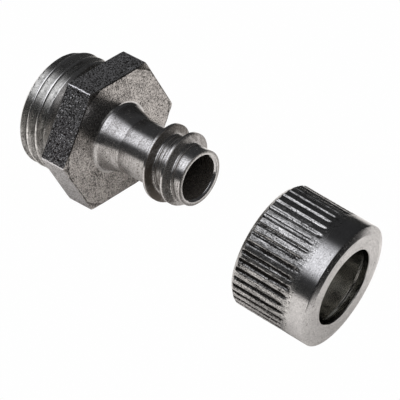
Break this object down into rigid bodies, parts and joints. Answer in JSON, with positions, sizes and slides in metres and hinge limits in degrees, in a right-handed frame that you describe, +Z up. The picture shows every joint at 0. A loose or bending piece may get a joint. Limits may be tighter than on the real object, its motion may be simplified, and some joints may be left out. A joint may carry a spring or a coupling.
{
  "type": "cable gland",
  "caption": "Metal conduit gland: hexagon body with mounting thread and ridged spigot that screws into spiral conduit, with its knurled sleeve taken off beside it.",
  "frame": {"origin": "middle of the rectangle that both pieces cover on the surface they rest on, at that surface", "axes": "+Z up; +X along the body's axis seen from above, from the mounting thread towards the spigot and the sleeve; +Y to the left of that"},
  "size_m": [0.0498, 0.0212, 0.0184],
  "materials": {
    "body_nickel": "nickel-plated brass, turned and lightly blasted, satin",
    "sleeve_nickel": "nickel-plated brass, turned band and rolled straight knurl, satin"
  },
  "bodies": {
    "body": {"gland_body": "body_nickel"},
    "sleeve": {"knurled_sleeve": "sleeve_nickel"}
  },
  "joints": [
    {"name": "sleeve_draw", "type": "slide", "parent": "body", "child": "sleeve", "axis": [0.9943, 0.1063, 0], "range_m": [-0.0105, 0.03]}
  ]
}
